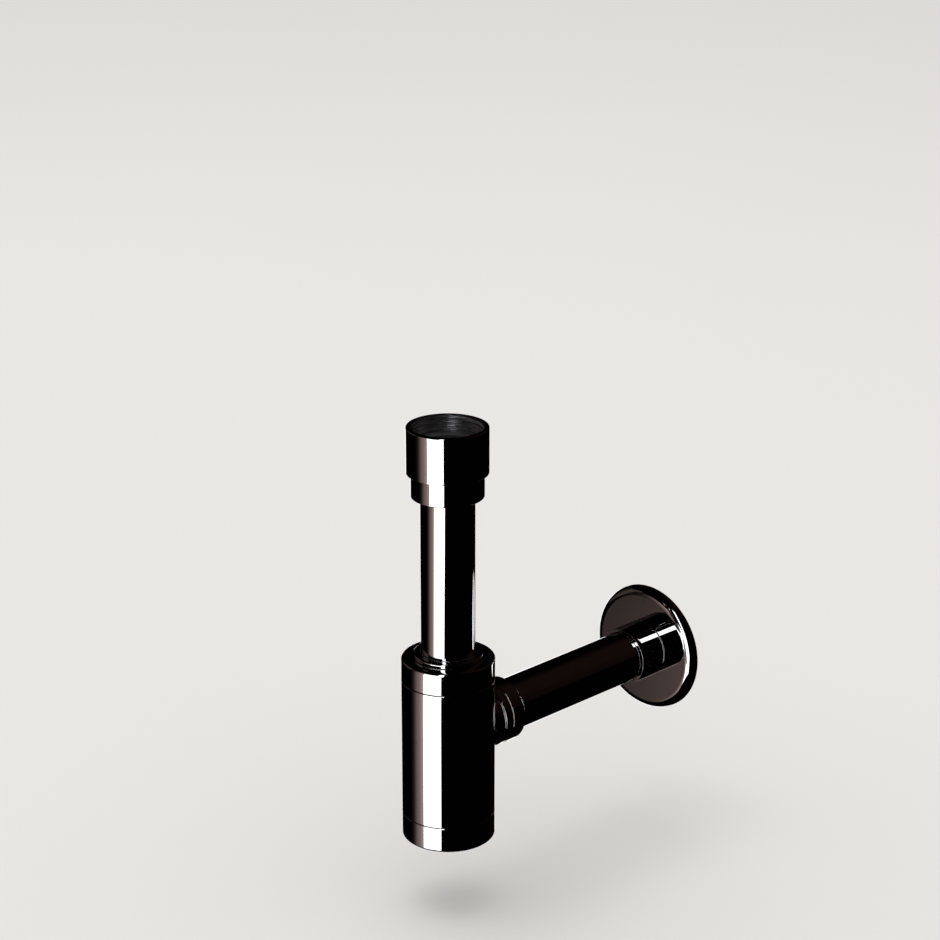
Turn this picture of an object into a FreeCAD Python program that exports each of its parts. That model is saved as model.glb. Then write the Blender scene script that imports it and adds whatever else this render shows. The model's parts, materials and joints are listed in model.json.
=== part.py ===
import FreeCAD, Part
import math
import os

# Polished bottle trap for a wash basin, in millimetres.
# The origin is the centre of the inlet sleeve's open mouth. +Z is up along the bottle's axis,
# and +Y runs along the outlet pipe to the wall.

# Driving dimensions: the two 32 mm tubes, the bottle and the places along the axis.
TUBE_R = 16.0
TUBE_WALL = 1.2
BOTTLE_R = 27.75
BOTTLE_WALL = 1.5

SLEEVE_R = 24.0
SLEEVE_BOTTOM_Z = -28.0
GLAND_R = 21.4
GLAND_BOTTOM_Z = -42.3
CAP_TOP_Z = -142.0
BODY_TOP_Z = -156.2
BODY_BOTTOM_Z = -241.3
CUP_BOTTOM_Z = -257.2
DIP_END_Z = -244.0
OUTLET_Z = -190.0

WALL_Y = 180.0
FLANGE_FRONT_Y = 173.6
PIPE_START_Y = 29.0
PIPE_END_Y = 200.0
MARK_Y = WALL_Y + 0.4
MARK_WIDTH = 1.0
MARK_DEPTH = 0.5

# Clearances: a visible seam between two screwed pieces, a running fit, and a free passage.
SEAM = 0.3
FIT = 0.08
PASSAGE = 0.3

# Inlet threads: the minor radius of a G 1 1/4 socket, and where its washer lies.
SOCKET_R = 19.5
SOCKET_DEPTH = 10.0
UNDERCUT_R = 20.6
WASHER_THICK = 2.5
SEAT_THICK = 2.0
GLAND_THREAD_R = 18.6

# Threads between the bottle's tube and the pieces that close its two ends.
RING_R = 24.3
RING_LENGTH = 10.5
NECK_WALL = 2.0
NECK_LENGTH = 13.0
ORING_SECTION_R = 0.95
ORING_CENTRE = 1.3
ORING_LAND = 2.6

# Gland on the cap's top.
CAP_GLAND_R = 20.6
CAP_GLAND_HEIGHT = 2.6
CAP_GLAND_DEPTH = 9.0
GLAND_BORE_R = 19.0
LIP_THICK = 2.0
CUP_FLOOR = 2.6

# Seals and slip rings, along their own axes.
SEAL_TAPER = 1.2
SLIP_THICK = 1.5
INLET_SEAL_LENGTH = 5.0
CAP_SEAL_LENGTH = 6.0
OUTLET_SEAL_LENGTH = 2.2
OUTLET_SEAL_TAPER = 0.8
OUTLET_SLIP_THICK = 1.2

# Outlet, measured along +Y from the bottle's axis.
SPIGOT_R = 18.0
SPIGOT_COLLAR_Y = 30.0
NUT_START_Y = 35.9
NUT_END_Y = 46.0
NUT_R = 19.8
SPIGOT_END_Y = 40.0
SPIGOT_STOP_Y = 22.7
SPIGOT_PROUD = 0.6
COLLAR_R = NUT_R - 0.2

# Wall flange, the grip ring behind it and the sleeve that covers its hub.
FLANGE_R = 40.7
FLANGE_EDGE = 5.5
PLATE_THICK = 1.6
HUB_R = 17.2
HUB_LENGTH = 11.0
GRIP_SECTION_R = 1.2
GRIP_WALL = 1.3
FLANGE_SLEEVE_R = 18.2
FLANGE_SLEEVE_LENGTH = 20.1
SLEEVE_LIP = 1.4

SEAL_R = TUBE_R + FIT
LOOSE_R = TUBE_R + PASSAGE


def rounded_wire(corners):
    """A closed outline in the XZ plane from (radius, height, rounding) corners."""
    points = [FreeCAD.Vector(r, 0, z) for r, z, _ in corners]
    edges = []
    ends = []
    for i, (_, _, rounding) in enumerate(corners):
        here = points[i]
        if rounding == 0:
            ends.append((here, here, None))
            continue
        back = (points[i - 1] - here).normalize()
        ahead = (points[(i + 1) % len(points)] - here).normalize()
        half = back.getAngle(ahead) / 2
        middle = (back + ahead).normalize()
        reach = rounding / math.tan(half)
        top = here + middle * (rounding / math.sin(half) - rounding)
        ends.append((here + back * reach, here + ahead * reach, top))
    for i, (start, finish, top) in enumerate(ends):
        if top is not None:
            edges.append(Part.Arc(start, top, finish).toShape())
        following = ends[(i + 1) % len(ends)][0]
        if finish.distanceToPoint(following) > 1e-6:
            edges.append(Part.LineSegment(finish, following).toShape())
    return Part.Wire(edges)


def turned(corners):
    """A piece turned about Z from the corners of half its section."""
    face = Part.Face(rounded_wire(corners))
    solid = face.revolve(FreeCAD.Vector(0, 0, 0), FreeCAD.Vector(0, 0, 1), 360)
    return Part.Solid(solid) if solid.ShapeType != "Solid" else solid


def ring(inner_r, outer_r, low, high, rounding=0.0):
    """A plain ring about Z with its outer corners rounded."""
    return turned([
        (inner_r, low, 0),
        (outer_r, low, rounding),
        (outer_r, high, rounding),
        (inner_r, high, 0),
    ])


def oring(middle_r, z):
    """A rubber ring of round section about Z."""
    centre = FreeCAD.Vector(0, 0, z)
    return Part.makeTorus(middle_r, ORING_SECTION_R, centre, FreeCAD.Vector(0, 0, 1))


def cone_seal(outer_r, low, high, taper):
    """A tapered rubber seal that fits the 32 mm tube, its thin end downwards."""
    return turned([
        (SEAL_R, low, 0),
        (outer_r - taper, low, 0.3),
        (outer_r, low + taper * 1.5, 0.3),
        (outer_r, high, 0.3),
        (SEAL_R, high, 0),
    ])


def along_outlet(shape):
    """Turns a piece made about Z so that its height runs along +Y at the outlet's level."""
    shape.rotate(FreeCAD.Vector(0, 0, 0), FreeCAD.Vector(1, 0, 0), -90)
    shape.translate(FreeCAD.Vector(0, 0, OUTLET_Z))
    return shape


def inlet_sleeve():
    """The cylinder that screws on the basin's waste, open at both ends."""
    seat_top = -SOCKET_DEPTH - WASHER_THICK
    seat_bottom = seat_top - SEAT_THICK
    return turned([
        (SOCKET_R, 0, 0),
        (SLEEVE_R, 0, 0.9),
        (SLEEVE_R, SLEEVE_BOTTOM_Z, 0.5),
        (GLAND_THREAD_R + FIT, SLEEVE_BOTTOM_Z, 0),
        (GLAND_THREAD_R + FIT, seat_bottom, 0),
        (TUBE_R - TUBE_WALL, seat_bottom, 0),
        (TUBE_R - TUBE_WALL, seat_top, 0),
        (UNDERCUT_R, seat_top, 0),
        (UNDERCUT_R, -SOCKET_DEPTH, 0),
        (SOCKET_R, -SOCKET_DEPTH, 0),
    ])


def inlet_washer():
    """The flat washer in the undercut below the socket's thread."""
    low = -SOCKET_DEPTH - WASHER_THICK
    return ring(TUBE_R - TUBE_WALL, UNDERCUT_R, low, -SOCKET_DEPTH, 0.3)


INLET_SEAL_TOP = -SOCKET_DEPTH - WASHER_THICK - SEAT_THICK
INLET_SEAL_BOTTOM = INLET_SEAL_TOP - INLET_SEAL_LENGTH
INLET_SLIP_BOTTOM = INLET_SEAL_BOTTOM - SLIP_THICK


def inlet_cone_seal():
    """The tapered rubber seal that the lower nut squeezes onto the tube."""
    seal = cone_seal(GLAND_THREAD_R, -INLET_SEAL_TOP, -INLET_SEAL_BOTTOM, SEAL_TAPER)
    seal.rotate(FreeCAD.Vector(0, 0, 0), FreeCAD.Vector(1, 0, 0), 180)
    return seal


def inlet_slip_ring():
    """The plastic ring that lets the nut turn without dragging the seal."""
    return ring(SEAL_R, GLAND_THREAD_R, INLET_SLIP_BOTTOM, INLET_SEAL_BOTTOM)


def inlet_gland_nut():
    """The collar below the sleeve, with the threaded stem that enters it."""
    stem_top = INLET_SLIP_BOTTOM - SEAM
    return turned([
        (LOOSE_R, stem_top, 0),
        (GLAND_THREAD_R, stem_top, 0.4),
        (GLAND_THREAD_R, SLEEVE_BOTTOM_Z - SEAM, 0),
        (GLAND_R, SLEEVE_BOTTOM_Z - SEAM, 0.4),
        (GLAND_R, GLAND_BOTTOM_Z, 0.7),
        (LOOSE_R, GLAND_BOTTOM_Z, 0),
    ])


def inlet_tube():
    """The tube from the inlet down through the cap to near the bottle's floor."""
    top = INLET_SEAL_TOP - SEAM
    return turned([
        (TUBE_R - TUBE_WALL, DIP_END_Z, 0),
        (TUBE_R, DIP_END_Z, 0.4),
        (TUBE_R, top, 0.4),
        (TUBE_R - TUBE_WALL, top, 0),
    ])


CAP_SLIP_TOP = CAP_TOP_Z - CAP_GLAND_DEPTH
CAP_SEAL_TOP = CAP_SLIP_TOP - SLIP_THICK
CAP_SEAL_BOTTOM = CAP_SEAL_TOP - CAP_SEAL_LENGTH


def cap_gland_nut():
    """The low ring on the cap, with the threaded stem that presses on the seal."""
    top = CAP_TOP_Z + CAP_GLAND_HEIGHT + SEAM
    return turned([
        (LOOSE_R, CAP_SLIP_TOP + SEAM, 0),
        (GLAND_BORE_R - FIT, CAP_SLIP_TOP + SEAM, 0.4),
        (GLAND_BORE_R - FIT, CAP_TOP_Z + SEAM, 0),
        (CAP_GLAND_R, CAP_TOP_Z + SEAM, 0.3),
        (CAP_GLAND_R, top, 1.2),
        (LOOSE_R, top, 0.4),
    ])


def cap_slip_ring():
    """The plastic ring between the gland nut and the cap's seal."""
    return ring(SEAL_R, GLAND_BORE_R - FIT, CAP_SEAL_TOP, CAP_SLIP_TOP)


def cap_cone_seal():
    """The tapered rubber seal round the tube inside the cap."""
    return cone_seal(GLAND_BORE_R - FIT, CAP_SEAL_BOTTOM, CAP_SEAL_TOP, SEAL_TAPER)


def bottle_cap():
    """The top closure: a rim as wide as the bottle and a threaded neck below it."""
    lip_bottom = CAP_SEAL_BOTTOM - LIP_THICK
    neck_r = RING_R - FIT
    neck_bottom = BODY_TOP_Z - NECK_LENGTH
    return turned([
        (GLAND_BORE_R, CAP_TOP_Z, 0.3),
        (BOTTLE_R, CAP_TOP_Z, 1.6),
        (BOTTLE_R, BODY_TOP_Z + SEAM, 0.4),
        (neck_r, BODY_TOP_Z + SEAM, 0),
        (neck_r, neck_bottom, 0.8),
        (neck_r - NECK_WALL, neck_bottom, 0),
        (neck_r - NECK_WALL, lip_bottom, 0),
        (LOOSE_R, lip_bottom, 0),
        (LOOSE_R, CAP_SEAL_BOTTOM, 0),
        (GLAND_BORE_R, CAP_SEAL_BOTTOM, 0),
    ])


BODY_BORE_R = BOTTLE_R - BOTTLE_WALL
ORING_MIDDLE_R = RING_R - FIT + ORING_SECTION_R


def cap_oring():
    """The rubber ring between the cap's neck and the bottle's tube."""
    return oring(ORING_MIDDLE_R, BODY_TOP_Z - ORING_CENTRE)


def upper_thread_ring():
    """The threaded ring soldered inside the bottle's top, for the cap."""
    top = BODY_TOP_Z - ORING_LAND
    return ring(RING_R, BODY_BORE_R, top - RING_LENGTH, top)


def bottle_body():
    """The bottle's polished tube, with the round hole for the outlet spigot."""
    tube = turned([
        (BODY_BORE_R, BODY_BOTTOM_Z, 0),
        (BOTTLE_R, BODY_BOTTOM_Z, 0.4),
        (BOTTLE_R, BODY_TOP_Z, 0.4),
        (BODY_BORE_R, BODY_TOP_Z, 0),
    ])
    hole = along_outlet(Part.makeCylinder(SPIGOT_R, BOTTLE_R + 5.0))
    return tube.cut(hole).Solids[0]


def lower_thread_ring():
    """The threaded ring soldered inside the bottle's foot, for the cup."""
    bottom = BODY_BOTTOM_Z + ORING_LAND
    return ring(RING_R, BODY_BORE_R, bottom, bottom + RING_LENGTH)


def cup_oring():
    """The rubber ring between the cup's neck and the bottle's tube."""
    return oring(ORING_MIDDLE_R, BODY_BOTTOM_Z + ORING_CENTRE)


def bottom_cup():
    """The clean-out cup, with a threaded neck that screws up into the bottle."""
    neck_r = RING_R - FIT
    bowl_r = neck_r - NECK_WALL
    floor_z = CUP_BOTTOM_Z + CUP_FLOOR
    return turned([
        (0, CUP_BOTTOM_Z, 0),
        (BOTTLE_R, CUP_BOTTOM_Z, 1.4),
        (BOTTLE_R, BODY_BOTTOM_Z - SEAM, 0.4),
        (neck_r, BODY_BOTTOM_Z - SEAM, 0),
        (neck_r, BODY_BOTTOM_Z + NECK_LENGTH, 0.6),
        (bowl_r, BODY_BOTTOM_Z + NECK_LENGTH, 0),
        (bowl_r, floor_z, 3.0),
        (0, floor_z, 0),
    ])


def outlet_spigot():
    """The short threaded spout soldered into the bottle's side."""
    spout = turned([
        (TUBE_R - TUBE_WALL, 0, 0),
        (SPIGOT_R, 0, 0),
        (SPIGOT_R, SPIGOT_COLLAR_Y, 0),
        (COLLAR_R, SPIGOT_COLLAR_Y, 0.6),
        (COLLAR_R, NUT_START_Y - SEAM, 0.4),
        (SPIGOT_R, NUT_START_Y - SEAM, 0),
        (SPIGOT_R, SPIGOT_END_Y, 0.3),
        (SEAL_R, SPIGOT_END_Y, 0.3),
        (SEAL_R, SPIGOT_STOP_Y, 0),
        (TUBE_R - TUBE_WALL, SPIGOT_STOP_Y, 0),
    ])
    inside = Part.makeCylinder(BODY_BORE_R - SPIGOT_PROUD, -2 * OUTLET_Z)
    inside.translate(FreeCAD.Vector(0, 0, 2 * OUTLET_Z))
    return along_outlet(spout).cut(inside).Solids[0]


OUTLET_SEAL_END_Y = SPIGOT_END_Y + OUTLET_SEAL_LENGTH
OUTLET_SLIP_END_Y = OUTLET_SEAL_END_Y + OUTLET_SLIP_THICK


def outlet_cone_seal():
    """The tapered rubber seal between the spigot's mouth and the outlet pipe."""
    outer_r = SPIGOT_R - FIT
    seal = cone_seal(outer_r, SPIGOT_END_Y, OUTLET_SEAL_END_Y, OUTLET_SEAL_TAPER)
    return along_outlet(seal)


def outlet_slip_ring():
    """The plastic ring between the outlet nut and its seal."""
    return along_outlet(ring(SEAL_R, SPIGOT_R - FIT, OUTLET_SEAL_END_Y, OUTLET_SLIP_END_Y))


def outlet_nut():
    """The round nut that closes the outlet joint."""
    lip_y = OUTLET_SLIP_END_Y + SEAM
    return along_outlet(turned([
        (SPIGOT_R + FIT, NUT_START_Y, 0),
        (NUT_R, NUT_START_Y, 0.4),
        (NUT_R, NUT_END_Y, 1.2),
        (LOOSE_R, NUT_END_Y, 0.3),
        (LOOSE_R, lip_y, 0),
        (SPIGOT_R + FIT, lip_y, 0),
    ]))


def outlet_pipe():
    """The straight pipe into the wall, with a groove that marks how far it goes in."""
    return along_outlet(turned([
        (TUBE_R - TUBE_WALL, PIPE_START_Y, 0),
        (TUBE_R, PIPE_START_Y, 0.4),
        (TUBE_R, MARK_Y - MARK_WIDTH, 0),
        (TUBE_R - MARK_DEPTH, MARK_Y - MARK_WIDTH, 0),
        (TUBE_R - MARK_DEPTH, MARK_Y, 0),
        (TUBE_R, MARK_Y, 0),
        (TUBE_R, PIPE_END_Y, 0.4),
        (TUBE_R - TUBE_WALL, PIPE_END_Y, 0),
    ]))


GRIP_RING_Y = FLANGE_FRONT_Y + GRIP_WALL + GRIP_SECTION_R


def wall_flange():
    """The round cover plate on the wall, dished behind, with a short hub in front."""
    grip_r = SEAL_R + 2 * GRIP_SECTION_R + FIT
    boss_r = grip_r + PLATE_THICK
    back = FLANGE_FRONT_Y + PLATE_THICK
    boss_end = GRIP_RING_Y + GRIP_SECTION_R + GRIP_WALL
    return along_outlet(turned([
        (LOOSE_R, FLANGE_FRONT_Y - HUB_LENGTH, 0),
        (HUB_R, FLANGE_FRONT_Y - HUB_LENGTH, 0.3),
        (HUB_R, FLANGE_FRONT_Y, 0),
        (FLANGE_R, FLANGE_FRONT_Y, FLANGE_EDGE),
        (FLANGE_R, WALL_Y, 0.3),
        (FLANGE_R - PLATE_THICK, WALL_Y, 0.3),
        (FLANGE_R - PLATE_THICK, back, FLANGE_EDGE - PLATE_THICK),
        (boss_r, back, 0),
        (boss_r, boss_end, 0),
        (LOOSE_R, boss_end, 0),
        (LOOSE_R, GRIP_RING_Y + GRIP_SECTION_R, 0),
        (grip_r, GRIP_RING_Y + GRIP_SECTION_R, 0),
        (grip_r, GRIP_RING_Y - GRIP_SECTION_R, 0),
        (LOOSE_R, GRIP_RING_Y - GRIP_SECTION_R, 0),
    ]))


def flange_grip_ring():
    """The rubber ring in the flange's hub that holds it on the pipe."""
    centre = FreeCAD.Vector(0, 0, GRIP_RING_Y)
    middle_r = SEAL_R + GRIP_SECTION_R
    up = FreeCAD.Vector(0, 0, 1)
    return along_outlet(Part.makeTorus(middle_r, GRIP_SECTION_R, centre, up))


def flange_sleeve():
    """The collar that slides over the hub and hides the gap round the pipe."""
    front = FLANGE_FRONT_Y - FLANGE_SLEEVE_LENGTH
    return along_outlet(turned([
        (LOOSE_R, front, 0.2),
        (FLANGE_SLEEVE_R, front, 0.6),
        (FLANGE_SLEEVE_R, FLANGE_FRONT_Y - SEAM, 0.3),
        (HUB_R + FIT, FLANGE_FRONT_Y - SEAM, 0),
        (HUB_R + FIT, front + SLEEVE_LIP, 0),
        (LOOSE_R, front + SLEEVE_LIP, 0),
    ]))


PIECES = [
    inlet_sleeve,
    inlet_washer,
    inlet_cone_seal,
    inlet_slip_ring,
    inlet_gland_nut,
    inlet_tube,
    cap_gland_nut,
    cap_slip_ring,
    cap_cone_seal,
    bottle_cap,
    cap_oring,
    upper_thread_ring,
    bottle_body,
    lower_thread_ring,
    cup_oring,
    bottom_cup,
    outlet_spigot,
    outlet_cone_seal,
    outlet_slip_ring,
    outlet_nut,
    outlet_pipe,
    wall_flange,
    flange_grip_ring,
    flange_sleeve,
]


def main():
    os.makedirs("parts", exist_ok=True)
    for make in PIECES:
        shape = make()
        shape.exportStep("parts/" + make.__name__ + ".step")
        print(make.__name__, shape.ShapeType, shape.isValid(), round(shape.Volume, 1))


main()
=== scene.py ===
import json
import math

import bmesh
import bpy
from mathutils import Matrix, Vector


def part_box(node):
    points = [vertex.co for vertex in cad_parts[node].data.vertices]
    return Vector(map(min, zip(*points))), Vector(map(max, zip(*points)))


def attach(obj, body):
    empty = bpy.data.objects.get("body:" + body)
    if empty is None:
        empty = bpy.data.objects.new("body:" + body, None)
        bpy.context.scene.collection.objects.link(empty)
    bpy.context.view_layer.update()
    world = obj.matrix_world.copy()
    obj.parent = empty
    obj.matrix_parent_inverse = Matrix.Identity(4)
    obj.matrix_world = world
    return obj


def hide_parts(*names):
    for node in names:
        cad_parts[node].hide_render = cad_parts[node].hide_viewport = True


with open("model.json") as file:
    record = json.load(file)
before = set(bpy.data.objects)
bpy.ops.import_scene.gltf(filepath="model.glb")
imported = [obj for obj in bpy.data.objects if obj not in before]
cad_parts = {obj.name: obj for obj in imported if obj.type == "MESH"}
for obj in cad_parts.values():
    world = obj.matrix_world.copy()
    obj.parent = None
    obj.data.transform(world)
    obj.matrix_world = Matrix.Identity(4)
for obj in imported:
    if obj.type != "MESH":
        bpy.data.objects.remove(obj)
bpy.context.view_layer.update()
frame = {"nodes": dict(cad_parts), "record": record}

bl_info = {
    "name": "Bottle Trap Maker",
    "version": (1, 0, 0),
    "blender": (4, 5, 0),
    "location": "3D View > Sidebar > Trap",
    "description": "Turns the polished pieces of a basin's bottle trap around its packed frame",
    "category": "Add Mesh",
}

MM = 0.001

# How far, in metres, a face has to look towards the axis to count as an inner wall.
LEVEL = 0.001 * MM
BOTTLE_AXIS = "Z"
OUTLET_AXIS = "Y"

# Inner sizes in millimetres, which the boxes of the nodes don't give.
TUBE_WALL = 1.2
BOTTLE_WALL = 1.5
FREE_R = 16.3
SEAL_R = 16.08
SOCKET_CREST_R = 19.5
SOCKET_ROOT_R = 20.6
SOCKET_DEPTH = 10.0
SOCKET_CHAMFER = 0.7
SOCKET_LEAD = 1.3
SEAT_TOP = -12.5
SEAT_BOTTOM = -14.5
SLEEVE_BORE_R = 18.68
CAP_BORE_R = 19.0
CAP_WEB_TOP = -158.5
CAP_WEB_BOTTOM = -160.5
NECK_R = 24.22
NECK_WALL = 2.0
THREAD_DEPTH = 0.9
THREAD_LEAD = 0.8
THREAD_RELIEF = 3.0
RING_LAND = 0.6
RING_LAND_HEIGHT = 3.0
RING_LAND_STEP = 0.4
CUP_FLOOR = 2.6
FIT = 0.08
SEAM = 0.3
SPIGOT_R = 18.0
SPIGOT_START = 19.0
SPIGOT_STOP = 22.7
SPIGOT_COLLAR = 30.0
DRILL_REACH = 8.0
NUT_LIP = 43.7
MARK_FROM = 179.4
MARK_TO = 180.4
MARK_DEPTH = 0.5
HUB_R = 17.2
FLANGE_EDGE = 5.5
PLATE = 1.6
GRIP_R = 18.56
GRIP_WALL = 1.3
SLEEVE_LIP = 1.4


def span(node, axis=BOTTLE_AXIS):
    """The radius and the low and high ends of a turned node, in millimetres."""
    low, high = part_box(node)
    along = "XYZ".index(axis)
    return high[0] / MM, low[along] / MM, high[along] / MM


# The outlet's height in metres, and the radius inside the tubes in millimetres.
OUTLET_Z = sum(c[2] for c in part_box("outlet_pipe")) / 2
TUBE_BORE_R = span("inlet_tube")[0] - TUBE_WALL


# The cards stand round this point at this distance in metres, and lean round by these angles.
CARD_CENTRE = Vector((0, 0, -0.13))
CARD_REACH = 2.2
LEAN = 7.0
LEAN_FOOT = -25.0
LEAN_RISE = 8.0


# ---------------------------------------------------------------- settings


class TrapTurning(bpy.types.PropertyGroup):
    """How finely the pieces are turned."""

    steps: bpy.props.IntProperty(
        name="Steps", description="Flats in one full turn", default=192, min=24, max=360)
    arc_steps: bpy.props.IntProperty(
        name="Arc steps", description="Flats in each rounded edge", default=7, min=2, max=24)
    pitch: bpy.props.FloatProperty(
        name="Thread pitch", description="Advance of a thread in one turn",
        default=2.309 * MM, min=0.5 * MM, max=4 * MM, subtype="DISTANCE", unit="LENGTH")
    solder: bpy.props.FloatProperty(
        name="Solder fillet", description="Radius of the fillet where the spigot joins the bottle",
        default=0.9 * MM, min=0.1 * MM, max=3 * MM, subtype="DISTANCE", unit="LENGTH")


class TrapFinish(bpy.types.PropertyGroup):
    """Colours and wear of the finishes."""

    chrome: bpy.props.FloatVectorProperty(
        name="Chrome", description="Colour of the plating", size=3, subtype="COLOR",
        default=(0.79, 0.795, 0.81), min=0.0, max=1.0)
    chrome_roughness: bpy.props.FloatProperty(
        name="Chrome roughness", description="Roughness of clean polished plating",
        default=0.014, min=0.0, max=1.0, subtype="FACTOR")
    haze: bpy.props.FloatProperty(
        name="Polishing haze", description="Roughness that wiped patches add",
        default=0.035, min=0.0, max=0.5, subtype="FACTOR")
    drops: bpy.props.FloatProperty(
        name="Dried drops", description="Roughness that dried drops of water add",
        default=0.08, min=0.0, max=0.5, subtype="FACTOR")
    inner_roughness: bpy.props.FloatProperty(
        name="Inner roughness", description="Roughness of plating inside the pieces",
        default=0.30, min=0.0, max=1.0, subtype="FACTOR")
    brass: bpy.props.FloatVectorProperty(
        name="Brass", description="Colour of plain turned brass", size=3, subtype="COLOR",
        default=(0.72, 0.50, 0.22), min=0.0, max=1.0)
    rubber: bpy.props.FloatVectorProperty(
        name="Rubber", description="Colour of the seals", size=3, subtype="COLOR",
        default=(0.022, 0.022, 0.024), min=0.0, max=1.0)
    plastic: bpy.props.FloatVectorProperty(
        name="Plastic", description="Colour of the slip rings", size=3, subtype="COLOR",
        default=(0.82, 0.81, 0.76), min=0.0, max=1.0)


class TrapStage(bpy.types.PropertyGroup):
    """Floor, light and camera."""

    floor_level: bpy.props.FloatProperty(
        name="Floor level", description="Height of the floor below the inlet",
        default=-0.302, min=-3.0, max=-0.2, subtype="DISTANCE", unit="LENGTH")
    floor: bpy.props.FloatVectorProperty(
        name="Floor", description="Colour of the floor", size=3, subtype="COLOR",
        default=(0.78, 0.775, 0.765), min=0.0, max=1.0)
    azimuth: bpy.props.FloatProperty(
        name="Azimuth", description="Direction that the camera stands in, from -Y towards +X",
        default=math.radians(45.42), subtype="ANGLE", unit="ROTATION")
    elevation: bpy.props.FloatProperty(
        name="Elevation", description="Angle of the camera above the horizon",
        default=math.radians(19.22), subtype="ANGLE", unit="ROTATION")
    distance: bpy.props.FloatProperty(
        name="Distance", description="Distance from the camera to the point it looks at",
        default=1.4, min=0.1, subtype="DISTANCE", unit="LENGTH")
    aim: bpy.props.FloatVectorProperty(
        name="Aim", description="Point that the camera looks at", size=3,
        default=(0.0045, 0.0136, -0.0288), subtype="TRANSLATION", unit="LENGTH")
    lens: bpy.props.FloatProperty(
        name="Lens", description="Focal length", default=93.3, min=10.0, unit="CAMERA")
    window: bpy.props.FloatProperty(
        name="Window card", description="Strength of the bright card that the chrome reflects",
        default=2.2, min=0.0)
    shade: bpy.props.FloatProperty(
        name="Shade card", description="Strength of the dim warm card beside it",
        default=1.0, min=0.0)
    room: bpy.props.FloatProperty(
        name="Room light", description="Strength of the light from all round on the floor",
        default=0.86, min=0.0)
    key: bpy.props.FloatProperty(
        name="Key light", description="Power of the large soft light overhead",
        default=38.0, min=0.0, unit="POWER")


def linked(name, data):
    """A new object in the scene that holds a mesh, a light or a camera."""
    thing = bpy.data.objects.new(name, data)
    bpy.context.scene.collection.objects.link(thing)
    return thing


def turning():
    return bpy.context.scene.trap_turning


def finish():
    return bpy.context.scene.trap_finish


def stage():
    return bpy.context.scene.trap_stage


# ---------------------------------------------------------------- node trees


class Tree:
    """A small helper that adds nodes to a tree and links them."""

    def __init__(self, tree):
        self.tree = tree

    def add(self, kind, inputs=None, **settings):
        node = self.tree.nodes.new(kind)
        for name, value in settings.items():
            setattr(node, name, value)
        for socket, value in (inputs or {}).items():
            self.feed(node, socket, value)
        return node

    def feed(self, node, socket, value):
        if isinstance(value, bpy.types.NodeSocket):
            self.tree.links.new(value, node.inputs[socket])
        elif isinstance(value, bpy.types.Node):
            self.tree.links.new(value.outputs[0], node.inputs[socket])
        else:
            node.inputs[socket].default_value = value

    def math(self, operation, first, second=0.0, third=None, clamp=False):
        node = self.add("ShaderNodeMath", {0: first, 1: second}, operation=operation, use_clamp=clamp)
        if third is not None:
            self.feed(node, 2, third)
        return node.outputs[0]


def emptied(owner):
    """The cleared node tree of a material or a world, ready for new nodes."""
    owner.use_nodes = True
    owner.node_tree.nodes.clear()
    return Tree(owner.node_tree)


def see_through_from_below(made, shader):
    """Lets a look from under the floor pass through it."""
    side = made.add("ShaderNodeNewGeometry")
    clear = made.add("ShaderNodeBsdfTransparent")
    mix = made.add("ShaderNodeMixShader", {0: side.outputs["Backfacing"], 1: shader, 2: clear})
    out = next(n for n in made.tree.nodes if n.type == "OUTPUT_MATERIAL")
    made.feed(out, "Surface", mix)


def group_tree(name, kind, inputs, outputs):
    """A new node group with named inputs and outputs, and its two end nodes."""
    tree = bpy.data.node_groups.new(name, kind)
    for label, socket_type, value in inputs:
        socket = tree.interface.new_socket(label, in_out="INPUT", socket_type=socket_type)
        if value is not None:
            socket.default_value = value
    for label, socket_type in outputs:
        tree.interface.new_socket(label, in_out="OUTPUT", socket_type=socket_type)
    made = Tree(tree)
    return made, made.add("NodeGroupInput"), made.add("NodeGroupOutput")


def end_tree(made, given, result, shape, offset, rotation=(0.0, 0.0, 0.0)):
    """Ends a geometry tree: puts its shape in place, smooth, real and with its material."""
    placed = made.add("GeometryNodeTransform", {
        "Geometry": shape, "Translation": offset, "Rotation": rotation})
    smooth = made.add("GeometryNodeSetShadeSmooth", {"Geometry": placed})
    real = made.add("GeometryNodeRealizeInstances", {"Geometry": smooth})
    dressed = made.add("GeometryNodeSetMaterial", {
        "Geometry": real, "Material": given.outputs["Material"]})
    made.feed(result, "Geometry", dressed)
    result.is_active_output = True
    return made.tree


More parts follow.
